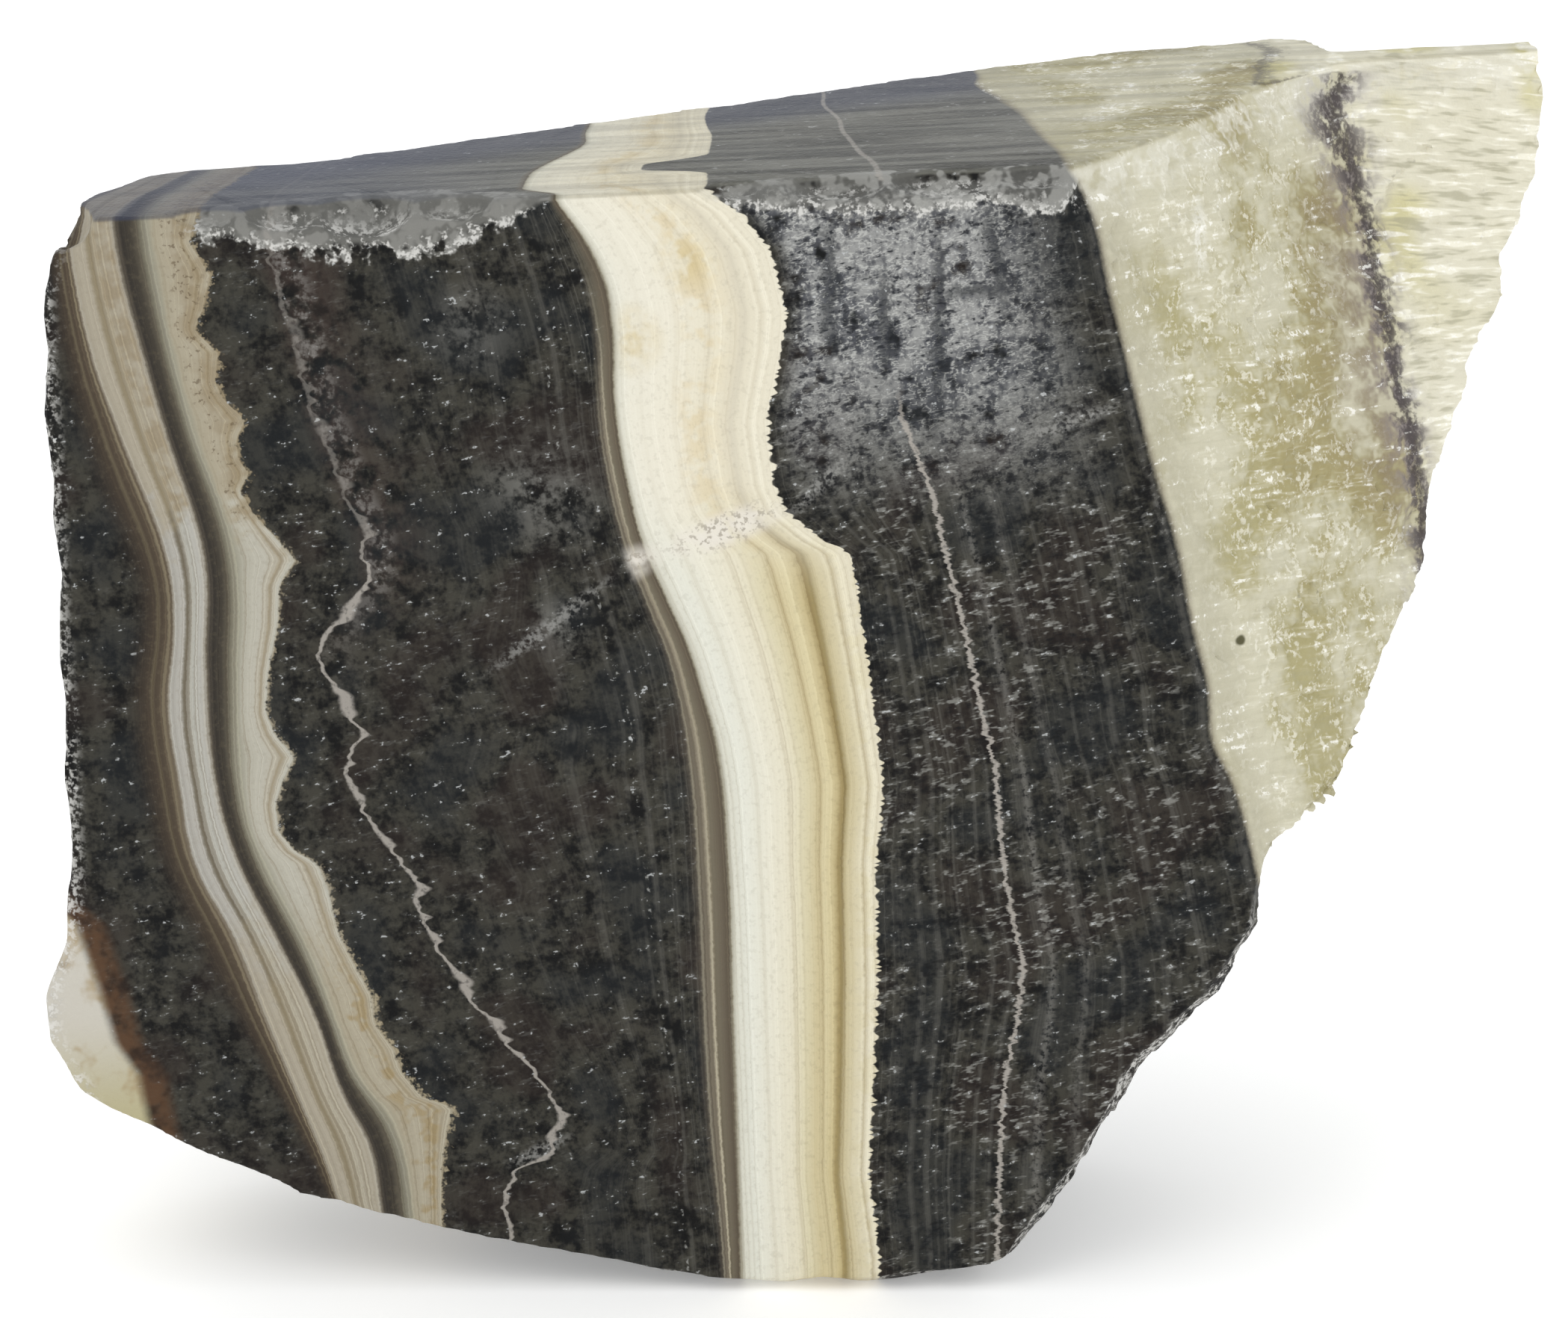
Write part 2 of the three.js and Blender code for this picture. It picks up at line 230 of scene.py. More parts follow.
# Three masks by place: red, green and blue of a ramp's colours
def maskRamp(tree, place, stops):
    return addNode(tree, "SeparateColor", {"Color": ramp(tree, place, stops)}).outputs


# The line through some points. It takes the share of the span and gives the share of the reach
def curve(tree, along, span, points, reach, handle="AUTO"):
    made = addNode(tree, "FloatCurve", {"Value": along})
    line = made.mapping.curves[0]
    made.mapping.extend = "HORIZONTAL"
    while len(line.points) < len(points):
        line.points.new(0.5, 0.5)
    for point, (at, value) in zip(line.points, points):
        point.location = ((at - span[0]) / (span[1] - span[0]), (value - reach[0]) / (reach[1] - reach[0]))
        point.handle_type = handle
    made.mapping.update()
    return made.outputs[0]


# The place drawn out or squeezed along each axis, with a pattern that climbs to the right
def stretched(tree, place, x, y, z, climb=0.0):
    made = addNode(tree, "Mapping", {"Vector": place}, vector_type="TEXTURE")
    made.inputs["Rotation"].default_value = (0, -math.atan(climb), 0)
    made.inputs["Scale"].default_value = (1 / x, 1 / y, 1 / z)
    return made.outputs[0]


# A soft oval mark, from 1 at its middle on the front to 0 at its rim. It reaches in to the given depth
def oval(tree, place, x, z, halfLength, halfWidth, depth, angle=0.0):
    made = addNode(tree, "Mapping", {"Vector": place}, vector_type="TEXTURE")
    made.inputs["Location"].default_value = (x, stoneSetup["frontFace"], z)
    made.inputs["Rotation"].default_value = (0, -angle, 0)
    made.inputs["Scale"].default_value = (halfLength, depth, halfWidth)
    return addNode(tree, "TexGradient", {"Vector": made.outputs[0]}, gradient_type="SPHERICAL").outputs[1]


def strongest(tree, masks):
    result = next(masks)
    for mask in masks:
        result = calc(tree, "MAXIMUM", result, mask)
    return result


def spots(tree, place, marks, depth=frontMarks["depth"]):
    return strongest(tree, (oval(tree, place, x, z, radius, radius, depth) for x, z, radius in marks))


def streak(tree, place, start, end, halfWidth, depth):
    x, z = (start[0] + end[0]) / 2, (start[1] + end[1]) / 2
    halfLength = math.dist(start, end) / 2 + frontMarks["pastEnds"]
    angle = math.atan2(end[1] - start[1], end[0] - start[0])
    return oval(tree, place, x, z, halfLength, halfWidth, depth, angle)


def streaks(tree, place, lines, halfWidth, depth=frontMarks["depth"]):
    return strongest(tree, (streak(tree, place, *line, halfWidth, depth) for line in lines))


def newGroup(name, inputs, outputs):
    group = bpy.data.node_groups.new(name, "ShaderNodeTree")
    for label, kind in inputs.items():
        group.interface.new_socket(label, in_out="INPUT", socket_type="NodeSocket" + kind)
    for label, kind in outputs.items():
        group.interface.new_socket(label, in_out="OUTPUT", socket_type="NodeSocket" + kind)
    entry = group.nodes.new("NodeGroupInput")
    result = group.nodes.new("NodeGroupOutput")
    return group, entry.outputs, result.inputs


def useGroup(tree, group, sockets):
    made = addNode(tree, "Group")
    made.node_tree = group
    for name, value in sockets.items():
        feed(tree, value, made.inputs[name])
    return made.outputs


# Groups of the stone's material. Layer counts the layer edges from left to right: 2 to 3 is the
# first thin band, 4 to 5 the second, 8 to 9 the thick band, and the pale stone starts at 11
patternNames = ("Layer", "Fine", "Medium", "Broad", "Mottle", "Clouds")
patternInputs = {"Place": "Vector", **{name: "Float" for name in patternNames}}


def layersGroup():
    tree, given, result = newGroup("stoneLayers", {"Place": "Vector", "Fine": "Float"}, {
        "Layer": "Float", "Lobe": "Float", "Vein 1": "Float", "Vein 2": "Float", "Tooth": "Float",
    })
    wide, tall, deep = (stoneSetup[name] for name in ("acrossSpan", "heightSpan", "depthSpan"))
    width = wide[1] - wide[0]
    parts = split(tree, given["Place"])
    height = parts["Z"]
    depth = calc(tree, "SUBTRACT", parts["Y"], stoneSetup["frontFace"])
    lean = curve(tree, share(tree, parts["X"], *wide), wide, leanAcross, leanReach)
    byDepth = curve(tree, share(tree, depth, *deep), deep, leanByDepth, leanByDepthReach)
    leaning = times(tree, spread(tree, lean, *leanReach), byDepth)
    x = calc(tree, "MULTIPLY_ADD", leaning, -leanByDepthReach[1], parts["X"])
    # Behind the front the thick band swings left and back, and a tongue of dark stone cuts into it
    swing = times(tree, between(tree, depth, (0.3, 2.6), (6.5, 16.0)),
                  between(tree, parts["X"], (-25.0, -19.0), (-12.0, -6.0)))
    tongue = times(tree, between(tree, depth, (4.3, 6.5), (7.6, 10.2)),
                   between(tree, parts["X"], (-12.5, -9.0), (-6.0, -2.0)))
    x = calc(tree, "MULTIPLY_ADD", swing, 2.4, x)
    x = calc(tree, "MULTIPLY_ADD", tongue, 3.2, x)
    waves = calc(tree, "SUBTRACT", grain(tree, given["Place"], 0.09, 1.0), 0.5)
    waves = times(tree, waves, ease(tree, depth, 4.0, 36.0, 0.0, 9.0))
    frayed = calc(tree, "SUBTRACT", given["Fine"], 0.5)
    x = calc(tree, "ADD", x, calc(tree, "MULTIPLY_ADD", frayed, 0.22, waves))
    # From here across is a share of the whole width, as in the curves. An edge with many points
    # is a jagged one, and its curve keeps its corners
    across = calc(tree, "MULTIPLY_ADD", x, 1 / width, -wide[0] / width)
    up = share(tree, height, *tall)
    edges = {
        name: curve(tree, up, tall, points, wide, "AUTO" if len(points) < 15 else "VECTOR")
        for name, points in layerEdges.items()
    }
    places = [0.0, *edges.values(), 1.0]
    layer = share(tree, across, places[0], places[1])
    for start, end in zip(places[1:], places[2:]):
        layer = calc(tree, "ADD", layer, share(tree, across, start, end))
    feed(tree, layer, result["Layer"])
    # The right edge of the thick band is a row of small round teeth
    phase = calc(tree, "MULTIPLY_ADD", lineGrain(tree, height, 0.5), 9.0,
                 calc(tree, "MULTIPLY", height, 5.5))
    tooth = calc(tree, "ABSOLUTE", calc(tree, "SINE", phase))
    size = ease(tree, lineGrain(tree, height, 0.8), 0.3, 0.7, 0.01, 0.045)
    feed(tree, times(tree, tooth, size), result["Tooth"])
    lobe = curve(tree, up, tall, lobeEdge, wide, "VECTOR")
    feed(tree, calc(tree, "MULTIPLY", calc(tree, "SUBTRACT", lobe, across), width), result["Lobe"])
    # The first vein wanders and has thick knots, and the second is a thin even line
    wander = calc(tree, "MULTIPLY_ADD", lineGrain(tree, height, 0.6), 1.3, -0.65)
    knots = ease(tree, lineGrain(tree, height, 0.3, 3.0, 0.7), 0.44, 0.66, 0.13, 0.5)
    steps = calc(tree, "MULTIPLY_ADD", lineGrain(tree, height, 1.7, 3.0, 0.7), 0.9, -0.45)
    even = ease(tree, lineGrain(tree, height, 0.8), 0.3, 0.7, 0.12, 0.25)
    for name, edge, bend, half in (("Vein 1", "vein1", wander, knots), ("Vein 2", "vein2", steps, even)):
        away = calc(tree, "MULTIPLY_ADD", calc(tree, "SUBTRACT", edges[edge], across), width, bend)
        away = calc(tree, "DIVIDE", calc(tree, "ABSOLUTE", away), half)
        feed(tree, ease(tree, away, 1.3, 0.4), result[name])
    return tree


# Grain in three sizes, as scale for each millimetre, detail and roughness, and two mixes with the
# medium grain
grainSizes = {"Fine": (2.1, 2.0, 0.75), "Medium": (0.62, 2.0, 0.7), "Broad": (0.15, 1.0, 0.4)}
grainMixes = {"Mottle": ("Fine", 0.4), "Clouds": ("Broad", 0.6)}


def grainGroup():
    names = [name for name in patternNames if name != "Layer"]
    tree, given, result = newGroup("stoneGrain", {"Place": "Vector"}, {name: "Float" for name in names})
    made = {name: grain(tree, given["Place"], *size) for name, size in grainSizes.items()}
    for name, (other, amount) in grainMixes.items():
        rest = calc(tree, "MULTIPLY", made["Medium"], 1 - amount)
        made[name] = calc(tree, "MULTIPLY_ADD", made[other], amount, rest)
    for name, value in made.items():
        feed(tree, value, result[name])
    return tree


darkTones = {
    "deep": "0a0a0a", "main": "3a3831", "glow": "7d7c78", "brown": "2a211d", "blue": "1d2124",
    "veinHaze": "43342f", "smudge": "8e8a86", "alongLayers": "64625c", "glintDots": "a6a6a2",
    "dash": "8d8c86", "pit": "0e0e0f", "patchDark": "515256", "patchLight": "939391",
    "patchCloud": "4a4c52", "patchStroke": "b2b2ae", "patchPit": "2f3135", "bentLine": "1e2126",
    "thinLine": "a5a29b", "streak": "94938f", "glint": "c2c4c4",
}


def darkStoneGroup():
    tree, given, result = newGroup("darkStone", patternInputs, {"Color": "Color", "Glint": "Float"})
    tones = darkTones
    layer, fine, medium, broad, mottle, clouds = (given[name] for name in patternNames)
    place = given["Place"]
    parts = split(tree, place)
    height = parts["Z"]
    base = mixColour(tree, ease(tree, mottle, 0.38, 0.62), tones["deep"], tones["main"])
    glow = times(tree, spots(tree, place, frontMarks["glows"]), ease(tree, mottle, 0.4, 0.6, 0.0, 0.6))
    base = mixColour(tree, glow, base, tones["glow"])
    base = mixColour(tree, ease(tree, broad, 0.5, 0.64, 0.0, 0.5), base, tones["brown"])
    base = mixColour(tree, ease(tree, broad, 0.48, 0.36, 0.0, 0.45), base, tones["blue"])
    # A faint brownish haze and grey smudges go with the upper part of the first vein
    fromVein = calc(tree, "ABSOLUTE", calc(tree, "SUBTRACT", layer, 6.05))
    upper = ease(tree, height, 44.0, 60.0)
    haze = times(tree, ease(tree, fromVein, 0.3, 0.0), upper, ease(tree, medium, 0.36, 0.56, 0.0, 0.35))
    base = mixColour(tree, haze, base, tones["veinHaze"])
    smudge = times(tree, ease(tree, fromVein, 0.09, 0.01), upper, ease(tree, mottle, 0.48, 0.6, 0.0, 0.45))
    base = mixColour(tree, smudge, base, tones["smudge"])
    # Faint streaks run along the layers, and a line of painted glint spots runs along one of them
    along = times(tree, ease(tree, lineGrain(tree, layer, 17.0, 3.0, 0.65), 0.45, 0.75),
                  ease(tree, layer, 5.9, 6.9, 0.05, 0.35), ease(tree, medium, 0.3, 0.5))
    base = mixColour(tree, along, base, tones["alongLayers"])
    fromLine = calc(tree, "ABSOLUTE", calc(tree, "SUBTRACT", layer, 6.87))
    dottedGlints = times(tree, ease(tree, fromLine, 0.009, 0.003), ease(tree, fine, 0.55, 0.66, 0.0, 0.5))
    base = mixColour(tree, dottedGlints, base, tones["glintDots"])
    # Short bright dashes stand across the layers in clusters, mostly on the right
    dashes = grain(tree, stretched(tree, place, 0.75, 0.9, 1.9, 0.22), 1.1, 2.0, 0.8)
    lit = times(tree, ease(tree, dashes, 0.53, 0.68), ease(tree, layer, 8.9, 9.1, 0.12, 0.6),
                ease(tree, clouds, 0.42, 0.58, 0.12, 1.0))
    base = mixColour(tree, lit, base, tones["dash"])
    pits = times(tree, ease(tree, dashes, 0.46, 0.34), ease(tree, layer, 8.9, 9.1),
                 ease(tree, medium, 0.56, 0.42, 0.0, 0.7))
    base = mixColour(tree, pits, base, tones["pit"])
    # Light grey rough patch in the upper right of the dark stone, with pale strokes and dark pits
    patch = times(tree, ease(tree, height, 57.0, 71.0), between(tree, layer, (9.03, 9.25), (10.35, 10.95)),
                  ease(tree, parts["Y"], -17.5, -18.5), ease(tree, medium, 0.26, 0.48, 0.0, 0.9))
    tone = mixColour(tree, ease(tree, mottle, 0.4, 0.58), tones["patchDark"], tones["patchLight"])
    tone = mixColour(tree, ease(tree, clouds, 0.52, 0.4, 0.0, 0.5), tone, tones["patchCloud"])
    ridge = calc(tree, "ABSOLUTE", calc(tree, "SUBTRACT", dashes, 0.5))
    strokes = times(tree, ease(tree, ridge, 0.05, 0.01), ease(tree, fine, 0.4, 0.56))
    tone = mixColour(tree, strokes, tone, tones["patchStroke"])
    holes = times(tree, ease(tree, dashes, 0.43, 0.34), ease(tree, fine, 0.6, 0.46))
    tone = mixColour(tree, holes, tone, tones["patchPit"])
    base = mixColour(tree, patch, base, tone)
    # Dark bent lines in the rough patch
    bentX = calc(tree, "MULTIPLY_ADD", mottle, 4.0, parts["X"])
    bentZ = calc(tree, "MULTIPLY_ADD", fine, 1.6, height)
    bent = addNode(tree, "CombineXYZ", {"X": bentX, "Y": parts["Y"], "Z": bentZ})
    line = ease(tree, streaks(tree, bent.outputs[0], frontMarks["darkLines"], 0.7), 0.0, 0.7)
    line = times(tree, line, ease(tree, fine, 0.3, 0.55, 0.3, 0.75))
    base = mixColour(tree, line, base, tones["bentLine"])
    # Thin grey lines beside the second vein
    lines = ramp(tree, layer, [
        (9.0, "000000"), (9.15, "000000"), (9.19, "303030"), (9.23, "000000"), (10.1, "000000"),
        (10.12, "8a8a8a"), (10.15, "080808"), (10.22, "000000"), (10.25, "585858"), (10.28, "000000"),
        (10.44, "000000"), (10.47, "2a2a2a"), (10.5, "000000"), (11.0, "000000")])
    lined = times(tree, lines, ease(tree, height, 66.0, 56.0), ease(tree, fine, 0.35, 0.55))
    base = mixColour(tree, lined, base, tones["thinLine"])
    marks = ease(tree, streaks(tree, place, frontMarks["streaks"], 0.7), 0.0, 0.7)
    marks = times(tree, marks, ease(tree, fine, 0.4, 0.62, 0.0, 0.55))
    base = mixColour(tree, marks, base, tones["streak"])
    glint = times(tree, ease(tree, dashes, 0.6, 0.68), ease(tree, fine, 0.54, 0.62))
    feed(tree, mixColour(tree, calc(tree, "MULTIPLY", glint, 0.6), base, tones["glint"]), result["Color"])
    feed(tree, glint, result["Glint"])
    return tree


paleTones = {
    "light": "c8c3ac", "yellow": "a8a077", "warm": "988b60", "sugar": "e8e4d4", "far": "ddd8c4",
    "farYellow": "d1ca9b", "fibreShade": "a29e85", "fibreLight": "efebda", "strip": "b3ae98",
    "brownEdge": "7f7665", "rim": "dfdccf", "smear": "84765f", "lineHaze": "928b8e",
    "line": "423b3b", "crack": "ebe9e0", "speck": "5a573f", "glint": "fbf9f2",
}


def paleStoneGroup():
    tree, given, result = newGroup("paleStone", patternInputs, {"Color": "Color", "Glint": "Float"})
    tones, rightFace = paleTones, frontMarks["rightFaceDepth"]
    layer, fine, medium, broad, mottle, clouds = (given[name] for name in patternNames)
    place = given["Place"]
    parts = split(tree, place)
    height = parts["Z"]
    base = mixColour(tree, ease(tree, clouds, 0.4, 0.6), tones["light"], tones["yellow"])
    warm = times(tree, between(tree, layer, (11.3, 11.6), (11.98, 12.02)), ease(tree, clouds, 0.48, 0.6),
                 ease(tree, height, 44.0, 58.0, 0.15, 0.6))
    base = mixColour(tree, warm, base, tones["warm"])
    # Sugary white grains
    sugar = times(tree, ease(tree, fine, 0.47, 0.6), ease(tree, medium, 0.47, 0.6, 0.0, 0.65))
    base = mixColour(tree, sugar, base, tones["sugar"])
    # Fibres across the layers, plainest on the far right
    farTone = mixColour(tree, times(tree, ease(tree, broad, 0.42, 0.6), ease(tree, height, 62.0, 74.0)),
                        tones["far"], tones["farYellow"])
    base = mixColour(tree, ease(tree, layer, 11.97, 12.1, 0.0, 0.85), base, farTone)
    fibres = grain(tree, stretched(tree, place, 0.25, 0.22, 1.6, -0.08), 1.0, 2.0, 0.75)
    shade = times(tree, ease(tree, fibres, 0.48, 0.34), ease(tree, layer, 11.97, 12.1, 0.2, 0.6))
    base = mixColour(tree, shade, base, tones["fibreShade"])
    lit = times(tree, ease(tree, fibres, 0.53, 0.64), ease(tree, layer, 11.97, 12.1, 0.2, 0.9))
    base = mixColour(tree, lit, base, tones["fibreLight"])
    # Whitish strip beside the dark stone, with a thin brown edge
    strip = times(tree, ease(tree, layer, 11.24, 11.06), ease(tree, medium, 0.3, 0.5, 0.35, 0.7))
    base = mixColour(tree, strip, base, tones["strip"])
    base = mixColour(tree, ease(tree, layer, 11.04, 11.0, 0.0, 0.7), base, tones["brownEdge"])
    # Clear whitish edge under the sawn top
    level = calc(tree, "MULTIPLY_ADD", parts["X"], stoneSetup["topClimb"], stoneSetup["topFace"])
    rim = between(tree, calc(tree, "SUBTRACT", level, height), (0.0, 0.6), (1.2, 4.5))
    base = mixColour(tree, times(tree, rim, ease(tree, medium, 0.36, 0.56, 0.0, 0.6)), base, tones["rim"])
    # Blotchy dark line with a brown smear and a lavender haze on its left
    smear = times(tree, between(tree, layer, (11.65, 11.93), (11.98, 12.02)),
                  ease(tree, medium, 0.34, 0.58, 0.2, 0.85),
                  between(tree, height, (50.0, 58.0), (72.0, 79.0)))
    base = mixColour(tree, smear, base, tones["smear"])
    below = ease(tree, height, 82.0, 81.5)
    away = calc(tree, "ABSOLUTE", calc(tree, "SUBTRACT", layer, 12.0))
    haze = times(tree, ease(tree, away, 0.16, 0.01), ease(tree, medium, 0.36, 0.6, 0.0, 0.75), below)
    base = mixColour(tree, haze, base, tones["lineHaze"])
    blot = ease(tree, mottle, 0.38, 0.62, 0.016, 0.085)
    line = times(tree, ease(tree, calc(tree, "DIVIDE", away, blot), 1.4, 0.1),
                 ease(tree, fine, 0.3, 0.55, 0.4, 0.9),
                 calc(tree, "MAXIMUM", below, ease(tree, height, 82.0, 82.1, 0.0, 0.7)))
    base = mixColour(tree, line, base, tones["line"])
    cracks = ease(tree, streaks(tree, place, frontMarks["paleCracks"], 0.8, rightFace), 0.0, 0.6)
    cracks = times(tree, cracks, ease(tree, fine, 0.35, 0.55, 0.0, 0.7))
    base = mixColour(tree, cracks, base, tones["crack"])
    speck = ease(tree, spots(tree, place, frontMarks["specks"], rightFace), 0.1, 0.5)
    base = mixColour(tree, speck, base, tones["speck"])
    glint = times(tree, ease(tree, fibres, 0.58, 0.66), ease(tree, fine, 0.52, 0.6))
    feed(tree, mixColour(tree, calc(tree, "MULTIPLY", glint, 0.65), base, tones["glint"]), result["Color"])
    feed(tree, glint, result["Glint"])
    return tree


# Colours across the bands by layer. The masks of the thin bands are the bands, their right halves and
# the middle of the second one, and those of the thick band are the band, an arc in it and its right edge
bandStops = {
    "thin": [
        (1.0, "2b2825"), (1.35, "332c25"), (1.6, "3f362c"), (1.66, "5d5443"), (1.72, "453b30"),
        (1.84, "4f4538"), (1.88, "786e5a"), (1.93, "564b3d"), (1.98, "857d6f"), (2.03, "9c9991"),
        (2.3, "a4a098"), (2.37, "746e60"), (2.43, "62594a"), (2.5, "969287"), (2.62, "a4a299"),
        (2.85, "a8a59d"), (2.96, "9b968b"), (3.02, "6f685b"), (3.1, "453f37"), (3.22, "302c27"),
        (3.5, "3c372f"), (3.7, "575145"), (3.82, "716d5e"), (3.94, "837f70"), (4.04, "908d7d"),
        (4.2, "a7a395"), (4.5, "ada99c"), (4.7, "a69f8f"), (4.76, "8b806a"), (4.82, "a9a292"),
        (4.94, "aeab9f"), (5.0, "8c8472")],
    "thinMasks": [
        (1.97, "000000"), (2.05, "ff0000"), (2.46, "ff0000"), (2.56, "ffff00"), (2.9, "ffff00"),
        (3.0, "000000"), (4.0, "000000"), (4.15, "ff0000"), (4.4, "ffbcff"), (4.6, "ffffff"),
        (4.75, "ffffff"), (4.9, "ffff00")],
    "main": [
        (7.0, "2d2a27"), (7.15, "37332e"), (7.3, "564f45"), (7.35, "8f8876"), (7.4, "665e51"),
        (7.52, "756d5e"), (7.57, "a09884"), (7.63, "6c6555"), (7.8, "62594b"), (7.93, "554c3f"),
        (7.99, "8b8573"), (8.03, "cccabc"), (8.12, "d6d5c8"), (8.26, "dad6c5"), (8.42, "d6cfb8"),
        (8.52, "cdc4a4"), (8.6, "c3b690"), (8.66, "c9bd97"), (8.72, "baab81"), (8.755, "98875b"),
        (8.775, "918259"), (8.81, "c0b490"), (8.88, "cac0a1"), (8.96, "cfc6a9"), (9.0, "d1c8ad")],
    "mainMasks": [
        (8.0, "000000"), (8.1, "ff0000"), (8.35, "ff0000"), (8.5, "ffff00"), (8.55, "ffff00"),
        (8.72, "ff0000"), (8.85, "ff0000"), (8.97, "ff00ff"), (9.1, "ff00ff"), (9.2, "000000")],
}
bandTones = {
    "browned": "978a6e", "tanTop": "84755b", "tanFoot": "8f7b52", "pit": "4f3d2a", "plain": "ded8c7",
    "arc": "c9b07a", "tanPatch": "c6b382", "toothEdge": "d8d1bd", "darkGrowth": "a3906a",
    "lightGrowth": "f7f5ee", "crack": "dcd6cb", "crackPit": "8f8678", "grime": "6f6551",
}


def bandsGroup():
    tree, given, result = newGroup("paleBands", {**patternInputs, "Tooth": "Float"},
                                   {"Color": "Color", "Mask": "Float"})
    tones = bandTones
    layer, fine, medium = (given[name] for name in ("Layer", "Fine", "Medium"))
    place = given["Place"]
    height = split(tree, place)["Z"]
    thin = ramp(tree, layer, bandStops["thin"])
    # Near the top and near the foot the thin bands are browner, with pits in the second one
    inThin, halves, middle = maskRamp(tree, layer, bandStops["thinMasks"])
    level = calc(tree, "MULTIPLY_ADD", medium, 12.0, height)
    upper = ease(tree, level, 62.0, 66.0)
    lower = ease(tree, level, 39.0, 30.0)
    browned = times(tree, calc(tree, "MAXIMUM", upper, lower), inThin, 0.5)
    thin = mixColour(tree, browned, thin, tones["browned"])
    tan = times(tree, upper, halves, ease(tree, medium, 0.36, 0.6, 0.15, 0.65))
    thin = mixColour(tree, tan, thin, tones["tanTop"])
    tan = times(tree, lower, middle, ease(tree, medium, 0.5, 0.62, 0.0, 0.6))
    thin = mixColour(tree, tan, thin, tones["tanFoot"])
    pits = times(tree, upper, middle, ease(tree, fine, 0.58, 0.64, 0.0, 0.55))
    thin = mixColour(tree, pits, thin, tones["pit"])
    main = ramp(tree, layer, bandStops["main"])
    # Higher up the thick band is plainer
    inMain, arc, edge = maskRamp(tree, layer, bandStops["mainMasks"])
    plain = ease(tree, height, 52.0, 62.0)
    main = mixColour(tree, times(tree, plain, inMain, 0.72), main, tones["plain"])
    arc = times(tree, plain, arc, ease(tree, medium, 0.4, 0.6, 0.0, 0.35))
    main = mixColour(tree, arc, main, tones["arc"])
    tan = times(tree, spots(tree, place, frontMarks["tanPatches"]), inMain,
                ease(tree, medium, 0.35, 0.6, 0.2, 0.8))
    main = mixColour(tree, tan, main, tones["tanPatch"])
    edge = times(tree, edge, ease(tree, medium, 0.4, 0.55, 0.0, 0.5))
    main = mixColour(tree, edge, main, tones["toothEdge"])
    # Fine growth lines inside each band, soft in the upper part of the thick one
    growth = lineGrain(tree, calc(tree, "MULTIPLY_ADD", height, 0.0015, layer), 13.0, 4.0, 0.7)
    isMain = ease(tree, layer, 6.0, 6.2)
    base = mixColour(tree, isMain, thin, main)
    lines = times(tree, ease(tree, growth, 0.5, 0.28, 0.0, 0.45), ease(tree, height, 52.0, 62.0, 1.0, 0.35))
    base = mixColour(tree, lines, base, tones["darkGrowth"], "MULTIPLY")
    lines = ease(tree, growth, 0.52, 0.72, 0.0, 0.5)
    base = mixColour(tree, lines, base, tones["lightGrowth"], "SOFT_LIGHT")
    # A white crushed crack with grey pits runs up across the thick band
    crack = ease(tree, streaks(tree, place, frontMarks["crack"], 1.6), 0.0, 0.7)
    filled = times(tree, crack, ease(tree, medium, 0.3, 0.56, 0.3, 0.9))
    base = mixColour(tree, filled, base, tones["crack"])
    holes = times(tree, crack, ease(tree, fine, 0.52, 0.62, 0.0, 0.6))
    base = mixColour(tree, holes, base, tones["crackPit"])
    base = mixColour(tree, ease(tree, fine, 0.5, 0.68, 0.0, 0.12), base, tones["grime"])
    feed(tree, base, result["Color"])
    # The edges of the thin bands are scalloped, and the strip beside the thick one fades towards the top
    scallop = calc(tree, "MULTIPLY_ADD", fine, 0.3, layer)
    inThin = times(tree, ease(tree, layer, 1.0, 1.6), ease(tree, scallop, 5.2, 5.12))
    fading = calc(tree, "SUBTRACT", layer, ease(tree, height, 58.0, 80.0, 0.0, 0.5))
    inThick = times(tree, ease(tree, fading, 7.0, 7.5),
                    ease(tree, calc(tree, "SUBTRACT", layer, given["Tooth"]), 9.012, 8.996))
    feed(tree, calc(tree, "ADD", inThin, inThick, clamp=True), result["Mask"])
    return tree


